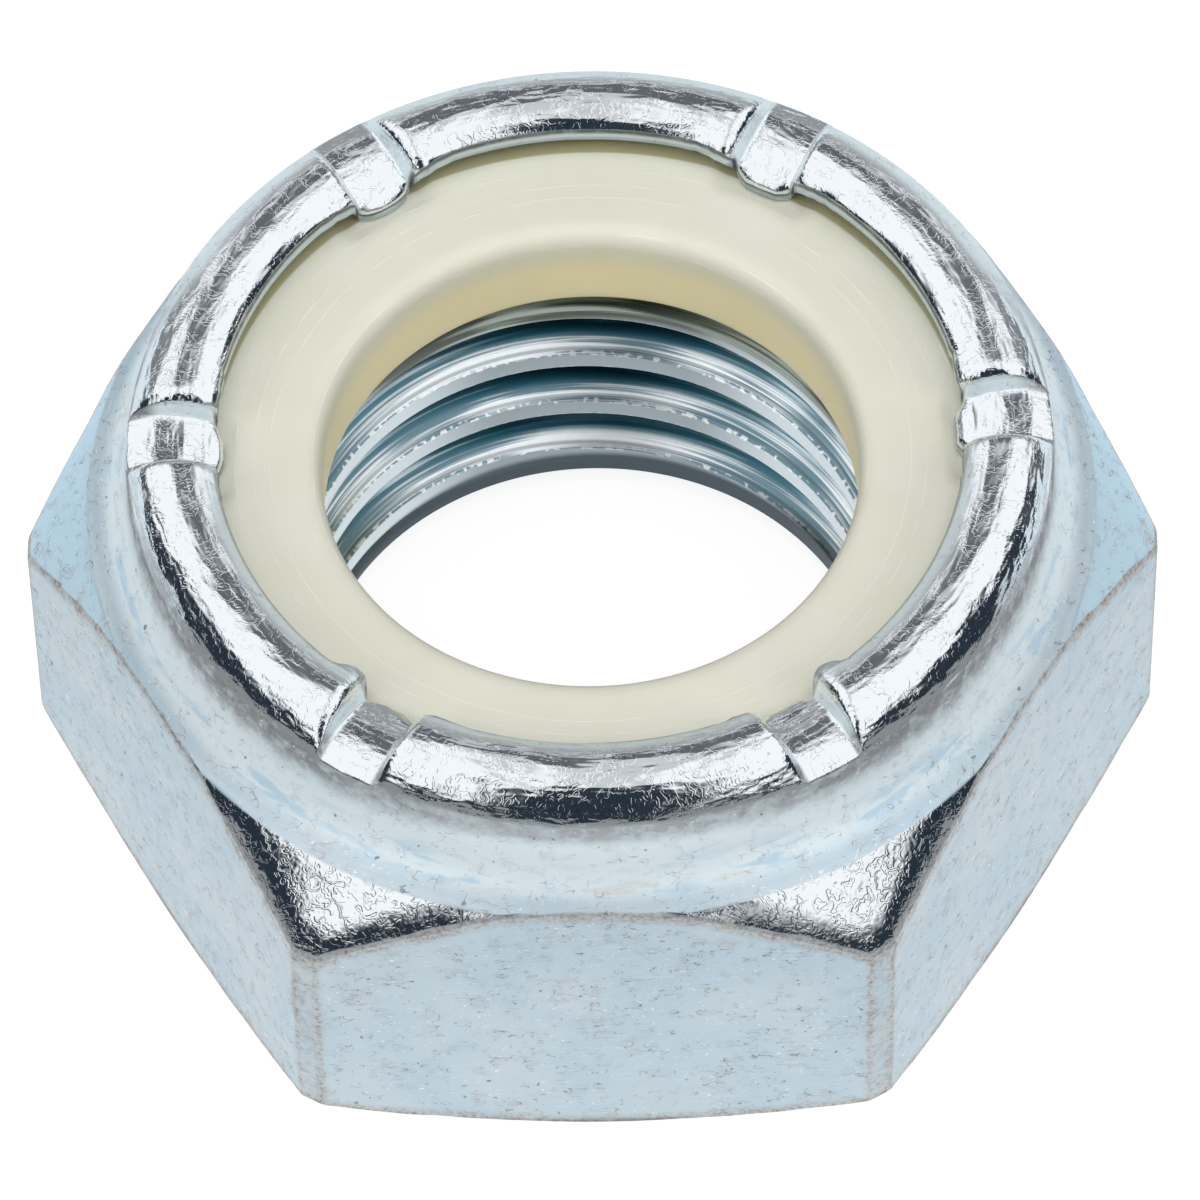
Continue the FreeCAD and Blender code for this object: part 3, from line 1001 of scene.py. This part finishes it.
def tent_cloth():
    """Lit cloth with gaps low down, for the camera and at the back, and a seam over the top."""
    material = bpy.data.materials.new("tent_cloth")
    f = Finish(material)
    direction = f.normalised(f.place())
    right, back, up = (f.parts(direction, axis) for axis in "XYZ")
    height = f.maths("ARCSINE", up) * (180 / math.pi)
    from_front = f.maths("ABSOLUTE", f.maths("ARCTAN2", right, 0 - back)) * (180 / math.pi)
    folds = f.noise(direction, 3.0, 1.0, 0.6) * 20.0 - 10.0
    edge = height + folds
    beside = f.between(from_front, 40.0, 80.0) * (1 - f.between(from_front, 100.0, 120.0))
    behind = f.between(from_front, 125.0, 150.0)
    low_gap = 1 - f.between(edge - beside * 18.0 - behind * 14.0, 8.0, 22.0)
    low_gap = low_gap * f.between(from_front, 100.0, 160.0, 1.0, 0.7)
    front_gap = (1 - f.between(from_front + folds, 16.0, 32.0)) * (1 - f.between(edge, 56.0, 67.0))
    back_gap = f.between(from_front, 145.0, 168.0) * f.between(edge, 28.0, 38.0)
    back_gap = back_gap * (1 - f.between(edge, 54.0, 66.0)) * 0.9
    seam = f.between(f.maths("ABSOLUTE", right + folds * 0.006), 0.12, 0.03)
    seam = seam * f.between(up, 0.5, 0.75) * 0.42
    dark = low_gap
    for gap in (front_gap, back_gap, seam):
        dark = f.maths("MAXIMUM", dark, gap)
    cloth = f.mixed(dark, WHITE, (0.021, 0.032, 0.045, 1))
    light = f.node("ShaderNodeEmission", None, {"Color": cloth, "Strength": 1.06})
    f.node("ShaderNodeOutputMaterial", None, {"Surface": light})
    return material


def light_tent():
    """A white dome round the nut, which lights nothing and shows only in reflections."""
    work = bmesh.new()
    bmesh.ops.create_uvsphere(work, u_segments=48, v_segments=24, radius=TENT_RADIUS)
    mesh = bpy.data.meshes.new("light_tent")
    work.to_mesh(mesh)
    work.free()
    mesh.materials.append(tent_cloth())
    tent = in_scene("light_tent", mesh)
    tent.visible_camera = tent.visible_diffuse = False
    tent.visible_shadow = tent.visible_transmission = False


def room_light():
    """White all round for the rays that show the background, and a third as bright on the nut."""
    world = bpy.data.worlds.new("room_light")
    bpy.context.scene.world = world
    f = Finish(world)
    seen = f.node("ShaderNodeBackground", None, {"Color": WHITE, "Strength": 1.0})
    soft = f.node("ShaderNodeBackground", None, {"Color": WHITE, "Strength": 0.35})
    f.node("ShaderNodeOutputWorld", None, {"Surface": f.mixed_shaders(seen_rays(f), soft, seen)})


def aim(made, direction, roll=0.0):
    """Turns a lamp or the camera to look in a direction."""
    made.rotation_mode = "QUATERNION"
    level = direction.to_track_quat("-Z", "Y")
    made.rotation_quaternion = level @ Matrix.Rotation(roll, 3, "Z").to_quaternion()


def lamp(name, place, size, watts):
    """A soft square lamp that looks at the nut."""
    light = bpy.data.lights.new(name, "AREA")
    light.energy, light.size = watts, size
    made = in_scene(name, light)
    made.location = place
    aim(made, -Vector(place))
    made.visible_glossy = False


def lamps():
    """One lamp over the nut and one on each side."""
    lamp("overhead_lamp", (0.0, -0.12, 0.5), 0.45, 1.3)
    lamp("left_lamp", (-0.4, -0.25, 0.3), 0.3, 0.72)
    lamp("right_lamp", (0.4, -0.25, 0.3), 0.3, 0.74)


# Camera at the photograph's viewing angle: degrees to the right, up and rolled, and metres
CAMERA_AROUND, CAMERA_ABOVE, CAMERA_ROLL = 1.0, 55.46, -1.27
CAMERA_TARGET = (0, 0, 0.005)
CAMERA_DISTANCE = 0.260


def camera():
    """The camera, with its picture shifted a little to frame the nut as the photograph does."""
    lens = bpy.data.cameras.new("camera")
    lens.sensor_width, lens.lens = 36.0, 319.8
    lens.shift_x, lens.shift_y = 0.0055, -0.0018
    lens.clip_start, lens.clip_end = 0.01, 10.0
    made = in_scene("camera", lens)
    bpy.context.scene.camera = made
    around, above = math.radians(CAMERA_AROUND), math.radians(CAMERA_ABOVE)
    level = math.cos(above)
    back = Vector((math.sin(around) * level, -math.cos(around) * level, math.sin(above)))
    made.location = Vector(CAMERA_TARGET) + back * CAMERA_DISTANCE
    aim(made, -back, math.radians(CAMERA_ROLL))


body = plated_body()
body.data.materials.append(zinc_plating())
ring = locking_ring()
ring.data.materials.append(cream_nylon())
table_top()
light_tent()
room_light()
lamps()
camera()
bpy.context.scene.view_settings.view_transform = "Standard"
